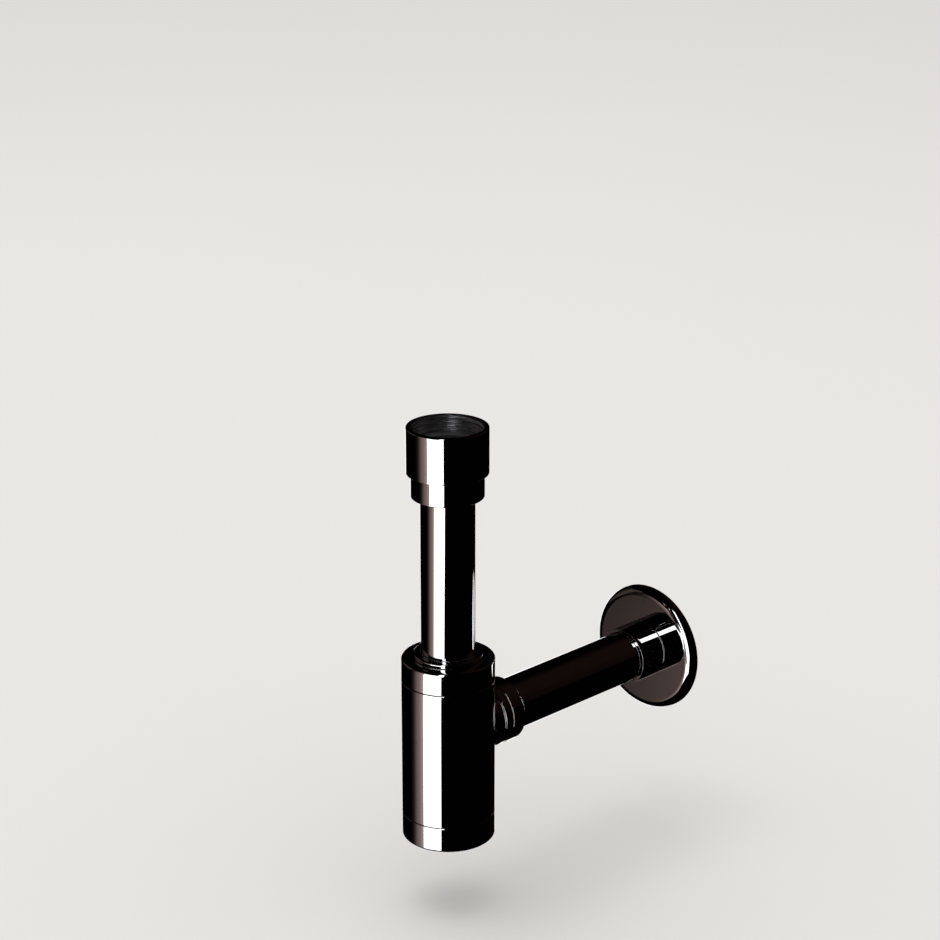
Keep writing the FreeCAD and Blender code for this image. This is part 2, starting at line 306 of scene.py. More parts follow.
def turned_piece_tree():
    """Turns an outline of points, radius along X and height along Z, about its axis."""
    made, given, result = group_tree("Turned Piece", "GeometryNodeTree", [
        ("Geometry", "NodeSocketGeometry", None),
        ("Steps", "NodeSocketInt", 96),
        ("Turn", "NodeSocketFloat", 0.0),
        ("Level", "NodeSocketFloat", 0.0),
        ("Material", "NodeSocketMaterial", None),
    ], [("Geometry", "NodeSocketGeometry")])
    count = made.add("GeometryNodeAttributeDomainSize", {"Geometry": given.outputs["Geometry"]})
    points = count.outputs["Point Count"]
    steps = given.outputs["Steps"]
    rows = made.math("ADD", steps, 1.0)
    columns = made.math("ADD", points, 1.0)
    grid = made.add("GeometryNodeMeshGrid", {"Vertices X": rows, "Vertices Y": columns})
    index = made.add("GeometryNodeInputIndex")
    step = made.math("FLOOR", made.math("DIVIDE", made.math("ADD", index, 0.5), columns))
    place = made.math("SUBTRACT", index, made.math("MULTIPLY", step, columns))
    place = made.math("MODULO", place, points)
    position = made.add("GeometryNodeInputPosition")
    outline = made.add("GeometryNodeSampleIndex", {
        "Geometry": given.outputs["Geometry"], "Value": position, "Index": place,
    }, data_type="FLOAT_VECTOR")
    parts = made.add("ShaderNodeSeparateXYZ", {0: outline})
    angle = made.math("DIVIDE", made.math("MULTIPLY", step, math.tau), steps)
    x = made.math("MULTIPLY", parts.outputs["X"], made.math("COSINE", angle))
    y = made.math("MULTIPLY", parts.outputs["X"], made.math("SINE", angle))
    around = made.add("ShaderNodeCombineXYZ", {"X": x, "Y": y, "Z": parts.outputs["Z"]})
    wrapped = made.add("GeometryNodeSetPosition", {"Geometry": grid, "Position": around})
    joined = made.add("GeometryNodeMergeByDistance", {"Geometry": wrapped, "Distance": 1e-6})
    turn = made.add("ShaderNodeCombineXYZ", {"X": given.outputs["Turn"]})
    level = made.add("ShaderNodeCombineXYZ", {"Z": given.outputs["Level"]})
    return end_tree(made, given, result, joined, level, turn)


def thread_tree():
    """A helical ridge about Z that fades out at both ends."""
    made, given, result = group_tree("Helical Thread", "GeometryNodeTree", [
        ("Geometry", "NodeSocketGeometry", None),
        ("Radius", "NodeSocketFloat", 0.02),
        ("Depth", "NodeSocketFloat", 0.001),
        ("Pitch", "NodeSocketFloat", 0.0023),
        ("Low", "NodeSocketFloat", 0.0),
        ("High", "NodeSocketFloat", 0.01),
        ("Material", "NodeSocketMaterial", None),
    ], [("Geometry", "NodeSocketGeometry")])
    height = made.math("SUBTRACT", given.outputs["High"], given.outputs["Low"])
    turns = made.math("DIVIDE", height, given.outputs["Pitch"])
    helix = made.add("GeometryNodeCurveSpiral", {
        "Resolution": 96, "Rotations": turns, "Start Radius": given.outputs["Radius"],
        "End Radius": given.outputs["Radius"], "Height": height, "Reverse": False})
    upright = made.add("GeometryNodeSetCurveNormal", {"Curve": helix})
    upright.mode = "Z_UP"
    along = made.add("GeometryNodeSplineParameter")
    fade_rate, thinnest = 9.0, 0.02
    ends = made.math("MULTIPLY", along.outputs["Factor"], fade_rate, clamp=True)
    to_end = made.math("SUBTRACT", 1.0, along.outputs["Factor"])
    back = made.math("MULTIPLY", to_end, fade_rate, clamp=True)
    fade = made.math("MAXIMUM", made.math("MULTIPLY", ends, back), thinnest)
    half_share, rounding_share = 0.43, 0.07
    flank_sunk, root_sunk = -0.25, -0.3
    half_pitch = made.math("MULTIPLY", given.outputs["Pitch"], half_share)
    depth = given.outputs["Depth"]
    below = made.add("ShaderNodeCombineXYZ", {
        "X": made.math("MULTIPLY", depth, flank_sunk), "Y": made.math("MULTIPLY", half_pitch, -1.0)})
    above = made.add("ShaderNodeCombineXYZ", {
        "X": made.math("MULTIPLY", depth, flank_sunk), "Y": half_pitch})
    crest = made.add("ShaderNodeCombineXYZ", {"X": depth, "Y": 0.0})
    root = made.add("ShaderNodeCombineXYZ", {
        "X": made.math("MULTIPLY", depth, root_sunk), "Y": 0.0})
    ridge = made.add("GeometryNodeCurvePrimitiveQuadrilateral", {
        "Point 1": below, "Point 2": crest, "Point 3": above, "Point 4": root}, mode="POINTS")
    rounding = made.math("MULTIPLY", given.outputs["Pitch"], rounding_share)
    round_off = made.add("GeometryNodeFilletCurve", {
        "Curve": ridge, "Radius": rounding, "Count": 2}, mode="POLY")
    swept = made.add("GeometryNodeCurveToMesh", {
        "Curve": upright, "Profile Curve": round_off, "Scale": fade, "Fill Caps": True})
    level = made.add("ShaderNodeCombineXYZ", {"Z": given.outputs["Low"]})
    return end_tree(made, given, result, swept, level)


def tree_named(name, maker):
    return bpy.data.node_groups.get(name) or maker()


def socket_key(tree, name):
    """The identifier of a tree's input, which a modifier's value is stored under."""
    for item in tree.interface.items_tree:
        if item.item_type == "SOCKET" and item.in_out == "INPUT" and item.name == name:
            return item.identifier
    raise KeyError(name)


def settled_mesh(name, holder):
    """The plain mesh of an object with its modifiers applied, in place of the object."""
    graph = bpy.context.evaluated_depsgraph_get()
    mesh = bpy.data.meshes.new_from_object(holder.evaluated_get(graph), depsgraph=graph)
    before = holder.data
    holder.modifiers.clear()
    bpy.data.objects.remove(holder)
    bpy.data.meshes.remove(before)
    mesh.name = name
    return mesh


def grown(name, tree, outline, values):
    """The plain mesh that a geometry tree makes from an outline of points."""
    seed = bpy.data.meshes.new(name + "_outline")
    seed.from_pydata(outline, [], [])
    holder = linked(name + "_holder", seed)
    modifier = holder.modifiers.new("Shape", "NODES")
    modifier.node_group = tree
    for label, value in values.items():
        modifier[socket_key(tree, label)] = value
    return settled_mesh(name, holder)


# ---------------------------------------------------------------- outlines and pieces


def outline_points(corners):
    """Points round a half section, in metres, from (radius, height, rounding) corners.

    Each straight run has a point close to both its ends, so that smooth shading stays true."""
    arc_steps = turning().arc_steps
    shortest, deepest = 0.02, 0.12
    stops = []
    for i, (r, z, rounding) in enumerate(corners):
        here = Vector((r, z))
        back = (Vector(corners[i - 1][:2]) - here).normalized()
        ahead = (Vector(corners[(i + 1) % len(corners)][:2]) - here).normalized()
        if rounding == 0:
            stops.append([here])
            continue
        half = back.angle(ahead) / 2
        reach = rounding / math.tan(half)
        centre = here + (back + ahead).normalized() * (rounding / math.sin(half))
        first = here + back * reach - centre
        last = here + ahead * reach - centre
        swing = first.angle_signed(last)
        steps = max(2, round(arc_steps * abs(swing) / (math.pi / 2)))
        stops.append([
            centre + Matrix.Rotation(-swing * k / steps, 2) @ first for k in range(steps + 1)])
    points = []
    for i, stop in enumerate(stops):
        points.extend(stop)
        start, end = stop[-1], stops[(i + 1) % len(stops)][0]
        run = end - start
        if run.length > shortest:
            inset = min(deepest, run.length / 3)
            points.append(start + run.normalized() * inset)
            points.append(end - run.normalized() * inset)
    return [(p.x * MM, 0.0, p.y * MM) for p in points]


def turned_mesh(name, corners, material, axis=BOTTLE_AXIS):
    """A closed smooth mesh turned about the bottle's axis or the outlet's."""
    tree = tree_named("Turned Piece", turned_piece_tree)
    outlet = axis == OUTLET_AXIS
    mesh = grown(name, tree, outline_points(corners), {
        "Steps": turning().steps,
        "Turn": math.radians(-90) if outlet else 0.0,
        "Level": OUTLET_Z if outlet else 0.0,
        "Material": material,
    })
    face_outwards(mesh)
    return mesh


def thread_mesh(name, radius, depth, low, high, material):
    """A helical ridge about the bottle's axis, all sizes in millimetres."""
    tree = tree_named("Helical Thread", thread_tree)
    mesh = grown(name, tree, [(0.0, 0.0, 0.0)], {
        "Radius": radius * MM, "Depth": depth * MM, "Pitch": turning().pitch,
        "Low": low * MM, "High": high * MM, "Material": material,
    })
    face_outwards(mesh)
    return mesh


def face_outwards(mesh):
    """Turns a closed mesh's faces round if they enclose a negative volume."""
    shell = bmesh.new()
    shell.from_mesh(mesh)
    if shell.calc_volume(signed=True) < 0:
        bmesh.ops.reverse_faces(shell, faces=shell.faces)
    shell.to_mesh(mesh)
    shell.free()


def joined_mesh(name, meshes):
    """One mesh from several, keeping their materials."""
    whole = bmesh.new()
    materials = []
    for mesh in meshes:
        start = len(whole.faces)
        whole.from_mesh(mesh)
        whole.faces.ensure_lookup_table()
        slots = [materials.index(m) if m in materials else None for m in mesh.materials]
        for i, material in enumerate(mesh.materials):
            if slots[i] is None:
                materials.append(material)
                slots[i] = len(materials) - 1
        for face in whole.faces[start:]:
            face.material_index = slots[face.material_index]
    result = bpy.data.meshes.new(name)
    whole.to_mesh(result)
    whole.free()
    for material in materials:
        result.materials.append(material)
    for mesh in meshes:
        bpy.data.meshes.remove(mesh)
    return result


def line_inside(mesh, axis, material):
    """Gives another material to the faces that look at the axis."""
    mesh.materials.append(material)
    slot = len(mesh.materials) - 1
    along = "XYZ".index(axis)
    for face in mesh.polygons:
        out = face.center - Vector((0, 0, OUTLET_Z if axis == OUTLET_AXIS else 0))
        out[along] = 0
        if face.normal.dot(out) < -LEVEL:
            face.material_index = slot


def placed(name, mesh, body, slot, node):
    """Links a finished piece, which rides on its body and stands for its CAD node."""
    piece = linked(name, mesh)
    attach(piece, body)
    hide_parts(node)


# ---------------------------------------------------------------- shader groups


def wiped_haze_group():
    """Wiped patches and fine turning lines: roughness to add, and a height for bump."""
    made, given, result = group_tree("Wiped Haze", "ShaderNodeTree", [
        ("Vector", "NodeSocketVector", None),
        ("Haze", "NodeSocketFloat", 0.05),
        ("Lines", "NodeSocketFloat", 0.2),
    ], [("Roughness", "NodeSocketFloat"), ("Height", "NodeSocketFloat")])
    patches = made.add("ShaderNodeTexNoise", {
        "Vector": given.outputs["Vector"], "Scale": 34.0, "Detail": 5.0, "Distortion": 0.6})
    shaped = made.add("ShaderNodeMapRange", {
        "Value": patches.outputs[0], "From Min": 0.42, "From Max": 0.72})
    fine = made.add("ShaderNodeTexNoise", {
        "Vector": given.outputs["Vector"], "Scale": 420.0, "Detail": 3.0})
    mixed = made.math("MULTIPLY", shaped.outputs[0], made.math("ADD", fine.outputs[0], 0.35))
    made.feed(result, "Roughness", made.math("MULTIPLY", mixed, given.outputs["Haze"]))
    parts = made.add("ShaderNodeSeparateXYZ", {0: given.outputs["Vector"]})
    flat = made.add("ShaderNodeCombineXYZ", {
        "X": made.math("MULTIPLY", parts.outputs["X"], 8.0),
        "Y": made.math("MULTIPLY", parts.outputs["Y"], 8.0),
        "Z": made.math("MULTIPLY", parts.outputs["Z"], 2400.0)})
    lines = made.add("ShaderNodeTexNoise", {"Vector": flat, "Scale": 1.0, "Detail": 2.0})
    made.feed(result, "Height", made.math("MULTIPLY", lines.outputs[0], given.outputs["Lines"]))
    return made.tree


def dried_drops_group():
    """Rings that dried drops of water leave: a mask."""
    made, given, result = group_tree("Dried Drops", "ShaderNodeTree", [
        ("Vector", "NodeSocketVector", None),
        ("Scale", "NodeSocketFloat", 150.0),
        ("Share", "NodeSocketFloat", 0.3),
    ], [("Mask", "NodeSocketFloat")])
    cells = made.add("ShaderNodeTexVoronoi", {
        "Vector": given.outputs["Vector"], "Scale": given.outputs["Scale"], "Randomness": 1.0})
    chosen = made.add("ShaderNodeSeparateColor", {0: cells.outputs["Color"]})
    wet = made.math("LESS_THAN", chosen.outputs[0], given.outputs["Share"])
    size = made.math("MULTIPLY_ADD", chosen.outputs[1], 0.22, 0.10)
    off_rim = made.math("ABSOLUTE", made.math("SUBTRACT", cells.outputs["Distance"], size))
    rim = made.add("ShaderNodeMapRange", {
        "Value": off_rim, "From Min": 0.0, "From Max": 0.05, "To Min": 1.0, "To Max": 0.0})
    inside = made.add("ShaderNodeMapRange", {
        "Value": made.math("SUBTRACT", cells.outputs["Distance"], size),
        "From Min": -0.05, "From Max": 0.0, "To Min": 0.35, "To Max": 0.0})
    spot = made.math("MAXIMUM", rim.outputs[0], inside.outputs[0])
    made.feed(result, "Mask", made.math("MULTIPLY", spot, wet))
    return made.tree


def fine_grain_group():
    """A fine even grain for moulded and rubber pieces: a tint factor and a height."""
    made, given, result = group_tree("Fine Grain", "ShaderNodeTree", [
        ("Vector", "NodeSocketVector", None),
        ("Scale", "NodeSocketFloat", 1500.0),
    ], [("Tint", "NodeSocketFloat"), ("Height", "NodeSocketFloat")])
    grain = made.add("ShaderNodeTexNoise", {
        "Vector": given.outputs["Vector"], "Scale": given.outputs["Scale"], "Detail": 3.0})
    cloud = made.add("ShaderNodeTexNoise", {
        "Vector": given.outputs["Vector"], "Scale": 60.0, "Detail": 4.0})
    made.feed(result, "Tint", cloud.outputs[0])
    made.feed(result, "Height", grain.outputs[0])
    return made.tree


# ---------------------------------------------------------------- materials


def new_material(name):
    """An empty material with its shader, its helper and Object coordinates."""
    material = bpy.data.materials.new(name)
    made = emptied(material)
    shader = made.add("ShaderNodeBsdfPrincipled")
    out = made.add("ShaderNodeOutputMaterial")
    made.feed(out, "Surface", shader)
    coords = made.add("ShaderNodeTexCoord")
    return material, made, shader, coords.outputs["Object"]


def use_group(made, name, maker, values):
    """Places a shader group in a material with its own values."""
    node = made.add("ShaderNodeGroup")
    node.node_tree = tree_named(name, maker)
    for label, value in values.items():
        made.feed(node, label, value)
    return node


def tinted(made, shader, factor, first, second):
    """Base colour between two colours, by a factor that changes over the surface."""
    tone = made.add("ShaderNodeMix", {
        "Factor": factor, 6: (*first, 1.0), 7: (*second, 1.0)}, data_type="RGBA")
    made.feed(shader, "Base Color", tone.outputs[2])


def bumped(made, shader, height, strength, distance):
    """Bump from a height, in metres."""
    bump = made.add("ShaderNodeBump", {
        "Height": height, "Strength": strength, "Distance": distance})
    made.feed(shader, "Normal", bump)


def scaled(colour, factor):
    return [min(1.0, c * factor) for c in colour]


def turned_vector(made, coords, axis):
    """Object coordinates with the turning axis brought to Z."""
    if axis == BOTTLE_AXIS:
        return coords
    mapping = made.add("ShaderNodeMapping", {
        "Vector": coords, "Location": (0, 0, 0), "Rotation": (math.radians(90), 0, 0)})
    return mapping.outputs[0]


def plated(name, axis, roughness, lines):
    """Chrome plate with wiped haze, dried drops and fine turning lines."""
    material, made, shader, coords = new_material(name)
    vector = turned_vector(made, coords, axis)
    haze = use_group(made, "Wiped Haze", wiped_haze_group, {
        "Vector": vector, "Haze": finish().haze, "Lines": lines})
    drops = use_group(made, "Dried Drops", dried_drops_group, {
        "Vector": vector, "Scale": 130.0, "Share": 0.16})
    spots = made.math("MULTIPLY", drops.outputs["Mask"], finish().drops)
    rough = made.math("ADD", made.math("ADD", haze.outputs["Roughness"], spots), roughness)
    made.feed(shader, "Roughness", rough)
    clean = finish().chrome
    tinted(made, shader, drops.outputs["Mask"], clean, scaled(clean, 0.85))
    made.feed(shader, "Metallic", 1.0)
    bumped(made, shader, haze.outputs["Height"], 0.02, 0.1 * MM)
    return material


def bottle_chrome():
    return plated("bottle_chrome", BOTTLE_AXIS, finish().chrome_roughness, 0.4)


def outlet_chrome():
    return plated("outlet_chrome", OUTLET_AXIS, finish().chrome_roughness, 0.4)


def bottle_inner_plate():
    return plated("bottle_inner_plate", BOTTLE_AXIS, finish().inner_roughness, 3.0)


def outlet_inner_plate():
    return plated("outlet_inner_plate", OUTLET_AXIS, finish().inner_roughness, 3.0)


def turned_brass():
    """Unplated brass with turning lines and a dull patchy tarnish."""
    material, made, shader, coords = new_material("turned_brass")
    haze = use_group(made, "Wiped Haze", wiped_haze_group, {
        "Vector": coords, "Haze": 0.25, "Lines": 3.0})
    grain = use_group(made, "Fine Grain", fine_grain_group, {"Vector": coords, "Scale": 900.0})
    bright = finish().brass
    tinted(made, shader, grain.outputs["Tint"], bright, scaled(bright, 0.6))
    made.feed(shader, "Metallic", 1.0)
    made.feed(shader, "Roughness", made.math("ADD", haze.outputs["Roughness"], 0.28))
    bumped(made, shader, haze.outputs["Height"], 0.2, 0.1 * MM)
    return material


def grained(name, colour, paler, roughness, strength):
    """Rubber or moulded plastic with a fine grain and a cloudy tint."""
    material, made, shader, coords = new_material(name)
    grain = use_group(made, "Fine Grain", fine_grain_group, {"Vector": coords, "Scale": 1800.0})
    tinted(made, shader, grain.outputs["Tint"], colour, scaled(colour, paler))
    rough = made.math("MULTIPLY_ADD", grain.outputs["Tint"], 0.2, roughness)
    made.feed(shader, "Roughness", rough)
    bumped(made, shader, grain.outputs["Height"], strength, 0.2 * MM)
    return material


def seal_rubber():
    return grained("seal_rubber", finish().rubber, 2.2, 0.45, 0.35)


def slip_plastic():
    return grained("slip_plastic", finish().plastic, 0.92, 0.38, 0.2)


def material_named(maker):
    return bpy.data.materials.get(maker.__name__) or maker()


def plated_piece(name, body, node, corners, axis=BOTTLE_AXIS, extras=()):
    """Turns and places a piece in polished plate, rougher on the walls that look at its axis.

    extras are meshes that belong to it, such as a thread."""
    outlet = axis == OUTLET_AXIS
    mesh = turned_mesh(name, corners, material_named(outlet_chrome if outlet else bottle_chrome), axis)
    line_inside(mesh, axis, material_named(outlet_inner_plate if outlet else bottle_inner_plate))
    if extras:
        mesh = joined_mesh(name, [mesh, *extras])
    placed(name, mesh, body, "polished_chrome", node)


# ---------------------------------------------------------------- operators


class TrapOperator(bpy.types.Operator):
    """Base of the operators that make pieces."""

    bl_options = {"REGISTER", "UNDO"}

    def execute(self, context):
        self.make()
        return {"FINISHED"}


class TRAP_OT_inlet(TrapOperator):
    """Turn the inlet sleeve with its thread, the nut below it and the washer inside"""

    bl_idname = "trap.inlet"
    bl_label = "Inlet"

    def make(self):
        self.sleeve()
        self.nut()
        self.washer()

    def sleeve(self):
        radius, low, high = span("inlet_sleeve")
        depth = SOCKET_ROOT_R - SOCKET_CREST_R
        top = high - SOCKET_LEAD
        inner = material_named(bottle_inner_plate)
        thread = thread_mesh("inlet_thread", SOCKET_ROOT_R, depth, -SOCKET_DEPTH, top, inner)
        plated_piece("inlet_sleeve_turned", "inlet", "inlet_sleeve", [
            (SOCKET_ROOT_R, high - SOCKET_CHAMFER, 0.2),
            (SOCKET_ROOT_R + SOCKET_CHAMFER, high, 0.2),
            (radius, high, 0.9),
            (radius, low, 0.5),
            (SLEEVE_BORE_R, low, 0.2),
            (SLEEVE_BORE_R, SEAT_BOTTOM, 0.1),
            (TUBE_BORE_R, SEAT_BOTTOM, 0.2),
            (TUBE_BORE_R, SEAT_TOP, 0.2),
            (SOCKET_ROOT_R, SEAT_TOP, 0.1),
        ], extras=[thread])

    def nut(self):
        radius, low, high = span("inlet_gland_nut")
        shoulder = span("inlet_sleeve")[1] - SEAM
        stem = SLEEVE_BORE_R - FIT
        plated_piece("inlet_gland_nut_turned", "inlet_nut", "inlet_gland_nut", [
            (FREE_R, high, 0.2),
            (stem, high, 0.4),
            (stem, shoulder, 0.1),
            (radius, shoulder, 0.4),
            (radius, low, 0.7),
            (FREE_R, low, 0.25),
        ])

    def washer(self):
        radius, low, high = span("inlet_washer")
        mesh = turned_mesh("inlet_washer_moulded", [
            (TUBE_BORE_R, low, 0.3),
            (radius, low, 0.3),
            (radius, high, 0.3),
            (TUBE_BORE_R, high, 0.6),
        ], material_named(seal_rubber))
        placed("inlet_washer_moulded", mesh, "inlet", "black_rubber", "inlet_washer")


class TRAP_OT_dip_tube(TrapOperator):
    """Turn the tube that runs from the inlet down into the bottle"""

    bl_idname = "trap.dip_tube"
    bl_label = "Dip tube"

    def make(self):
        radius, low, high = span("inlet_tube")
        plated_piece("dip_tube_drawn", "dip_tube", "inlet_tube", [
            (TUBE_BORE_R, low, 0.35),
            (radius, low, 0.35),
            (radius, high, 0.35),
            (TUBE_BORE_R, high, 0.35),
        ])


class TRAP_OT_cap(TrapOperator):
    """Turn the bottle's cap and the low gland nut on it"""

    bl_idname = "trap.cap"
    bl_label = "Cap"

    def make(self):
        chrome = material_named(bottle_chrome)
        radius, low, high = span("bottle_cap")
        rim = span("bottle_body")[2] + SEAM
        root = NECK_R - THREAD_DEPTH
        bowl = NECK_R - NECK_WALL
        bottom, top = low + THREAD_LEAD, rim - THREAD_RELIEF
        thread = thread_mesh("cap_thread", root, THREAD_DEPTH, bottom, top, chrome)
        plated_piece("bottle_cap_turned", "cap", "bottle_cap", [
            (CAP_BORE_R, high, 0.4),
            (radius, high, 1.6),
            (radius, rim, 0.4),
            (root, rim, 0.1),
            (root, low, 0.5),
            (bowl, low, 0.3),
            (bowl, CAP_WEB_BOTTOM, 0.1),
            (FREE_R, CAP_WEB_BOTTOM, 0.2),
            (FREE_R, CAP_WEB_TOP, 0.2),
            (CAP_BORE_R, CAP_WEB_TOP, 0.1),
        ], extras=[thread])
        self.gland_nut(high)

    def gland_nut(self, cap_top):
        radius, low, high = span("cap_gland_nut")
        shoulder = cap_top + SEAM
        stem = CAP_BORE_R - FIT
        plated_piece("cap_gland_nut_turned", "cap_nut", "cap_gland_nut", [
            (FREE_R, low, 0.2),
            (stem, low, 0.4),
            (stem, shoulder, 0.1),
            (radius, shoulder, 0.3),
            (radius, high, 1.2),
            (FREE_R, high, 0.5),
        ])


class TRAP_OT_bottle(TrapOperator):
    """Make the bottle's tube with its outlet hole, and the spigot soldered into it"""

    bl_idname = "trap.bottle"
    bl_label = "Bottle"

    def make(self):
        self.tube()
        self.spigot()

    def tube(self):
        radius, low, high = span("bottle_body")
        bore = radius - BOTTLE_WALL
        chrome = material_named(bottle_chrome)
        inner = material_named(bottle_inner_plate)
        mesh = turned_mesh("bottle_tube_drawn", [
            (bore, low, 0.2),
            (radius, low, 0.4),
            (radius, high, 0.4),
            (bore, high, 0.2),
        ], chrome)
        mesh = self.drilled(mesh, radius)
        line_inside(mesh, BOTTLE_AXIS, inner)
        true_wall_normals(mesh, radius, bore)
        placed("bottle_tube_drawn", mesh, "bottle", "polished_chrome", "bottle_body")

    def drilled(self, mesh, radius):
        """The tube with a round hole through one side for the spigot."""
        inside = DRILL_REACH
        outside = radius + DRILL_REACH
        drill_mesh = turned_mesh("bottle_drill", [
            (0, inside, 0), (SPIGOT_R, inside, 0), (SPIGOT_R, outside, 0), (0, outside, 0),
        ], None, OUTLET_AXIS)
        drill = linked("bottle_drill", drill_mesh)
        body = linked("bottle_blank", mesh)
        cut = body.modifiers.new("Hole", "BOOLEAN")
        cut.object = drill
        cut.operation = "DIFFERENCE"
        cut.solver = "EXACT"
        drilled = settled_mesh("bottle_tube_drawn", body)
        bpy.data.objects.remove(drill)
        bpy.data.meshes.remove(drill_mesh)
        return drilled

    def spigot(self):
        radius, _, end = span("outlet_spigot", OUTLET_AXIS)
        collar_end = span("outlet_nut", OUTLET_AXIS)[1] - SEAM
        fillet = solder_fillet(material_named(outlet_chrome))
        plated_piece("outlet_spigot_turned", "bottle", "outlet_spigot", [
            (TUBE_BORE_R, SPIGOT_START, 0.3),
            (SPIGOT_R, SPIGOT_START, 0.3),
            (SPIGOT_R, SPIGOT_COLLAR, 0.4),
            (radius, SPIGOT_COLLAR, 0.6),
            (radius, collar_end, 0.4),
            (SPIGOT_R, collar_end, 0.1),
            (SPIGOT_R, end, 0.3),
            (SEAL_R, end, 0.3),
            (SEAL_R, SPIGOT_STOP, 0.1),
            (TUBE_BORE_R, SPIGOT_STOP, 0.1),
        ], OUTLET_AXIS, extras=[fillet])


def true_wall_normals(mesh, radius, bore):
    """Gives the tube's outer and inner walls the normals of a true cylinder."""
    near = 0.02
    for edge in mesh.edges:
        edge.use_edge_sharp = False
    corner_normals = [Vector(n.vector) for n in mesh.corner_normals]
    for face in mesh.polygons:
        points = [mesh.vertices[v].co for v in face.vertices]
        sizes = [math.hypot(p.x, p.y) / MM for p in points]
        for wall, sign in ((radius, 1), (bore, -1)):
            if all(abs(s - wall) < near for s in sizes):
                for loop in face.loop_indices:
                    p = mesh.vertices[mesh.loops[loop].vertex_index].co
                    corner_normals[loop] = Vector((p.x, p.y, 0)).normalized() * sign
    mesh.normals_split_custom_set(corner_normals)


def solder_fillet(material):
    """The small concave fillet where the spigot leaves the bottle's round wall."""
    radius = span("bottle_body")[0] * MM
    spigot = SPIGOT_R * MM
    size = turning().solder
    sink = 0.25 * MM
    lap = 0.01 * MM
    steps = 160
    arc = 7
    rows = []
    for i in range(steps):
        t = math.tau * i / steps
        x, z = spigot * math.cos(t), spigot * math.sin(t)
        y = math.sqrt(radius * radius - x * x)
        foot = Vector((x, y, z))
        wall = Vector((x, y, 0)).normalized()
        tube = Vector((math.cos(t), 0, math.sin(t)))
        along = Vector((-spigot * math.sin(t), spigot * spigot * math.cos(t) * math.sin(t) / y,
                        spigot * math.cos(t))).normalized()
        over_wall = along.cross(wall)
        over_wall = over_wall if over_wall.dot(tube) > 0 else -over_wall
        up_tube = along.cross(tube)
        up_tube = up_tube if up_tube.y > 0 else -up_tube
        row = []
        for k in range(arc + 1):
            a = math.pi / 2 * k / arc
            place = foot + over_wall * size * (1 - math.sin(a)) + up_tube * size * (1 - math.cos(a))
            row.append(place)
        row[0] = foot + over_wall * size - wall * lap
        row.append(foot + up_tube * size - tube * sink)
        row.append(foot - wall * sink - tube * sink)
        row.append(foot + over_wall * size - wall * sink)
        rows.append(row)
    width = len(rows[0])
    lift = Vector((0, 0, OUTLET_Z))
    points = [p + lift for row in rows for p in row]
    faces = []
    for i in range(steps):
        for k in range(width):
            a, b = i * width + k, i * width + (k + 1) % width
            c, d = (a + width) % len(points), (b + width) % len(points)
            faces.append((a, b, d, c))
    mesh = bpy.data.meshes.new("solder_fillet")
    mesh.from_pydata(points, [], faces)
    mesh.materials.append(material)
    for face in mesh.polygons:
        face.use_smooth = True
    face_outwards(mesh)
    return mesh


class TRAP_OT_cup(TrapOperator):
    """Turn the clean-out cup with its thread, and the rubber ring above its shoulder"""

    bl_idname = "trap.cup"
    bl_label = "Clean-out cup"

    def make(self):
        chrome = material_named(bottle_chrome)
        radius, low, high = span("bottom_cup")
        shoulder = span("bottle_body")[1] - SEAM
        root = NECK_R - THREAD_DEPTH
        bowl = NECK_R - NECK_WALL
        bottom, top = shoulder + RING_LAND_HEIGHT + THREAD_LEAD, high - THREAD_LEAD
        thread = thread_mesh("cup_thread", root, THREAD_DEPTH, bottom, top, chrome)
        plated_piece("bottom_cup_turned", "cup", "bottom_cup", [
            (0, low, 0),
            (radius, low, 1.4),
            (radius, shoulder, 0.4),
            (root + RING_LAND, shoulder, 0.1),
            (root + RING_LAND, shoulder + RING_LAND_HEIGHT, 0.2),
            (root, shoulder + RING_LAND_HEIGHT + RING_LAND_STEP, 0.1),
            (root, high, 0.5),
            (bowl, high, 0.4),
            (bowl, low + CUP_FLOOR, 3.0),
            (0, low + CUP_FLOOR, 0),
        ], extras=[thread])
        self.ring()

    def ring(self):
        radius, low, high = span("cup_oring")
        section = (high - low) / 2
        middle = radius - section
        centre = (high + low) / 2
        corners = []
        sides = 20
        for k in range(sides):
            a = math.tau * k / sides
            corners.append((middle + section * math.cos(a), centre + section * math.sin(a), 0))
        mesh = turned_mesh("cup_ring_moulded", corners, material_named(seal_rubber))
        placed("cup_ring_moulded", mesh, "cup_seal", "black_rubber", "cup_oring")


class TRAP_OT_outlet(TrapOperator):
    """Turn the outlet's round nut and its straight pipe"""

    bl_idname = "trap.outlet"
    bl_label = "Outlet nut and pipe"

    def make(self):
        radius, low, high = span("outlet_nut", OUTLET_AXIS)
        plated_piece("outlet_nut_turned", "outlet_joint_nut", "outlet_nut", [
            (SPIGOT_R + FIT, low, 0.15),
            (radius, low, 0.4),
            (radius, high, 1.2),
            (FREE_R, high, 0.4),
            (FREE_R, NUT_LIP, 0.1),
            (SPIGOT_R + FIT, NUT_LIP, 0.1),
        ], OUTLET_AXIS)
        radius, low, high = span("outlet_pipe", OUTLET_AXIS)
        plated_piece("outlet_pipe_drawn", "waste_pipe", "outlet_pipe", [
            (radius - TUBE_WALL, low, 0.35),
            (radius, low, 0.35),
            (radius, MARK_FROM, 0.1),
            (radius - MARK_DEPTH, MARK_FROM, 0.15),
            (radius - MARK_DEPTH, MARK_TO, 0.15),
            (radius, MARK_TO, 0.1),
            (radius, high, 0.35),
            (radius - TUBE_WALL, high, 0.35),
        ], OUTLET_AXIS)


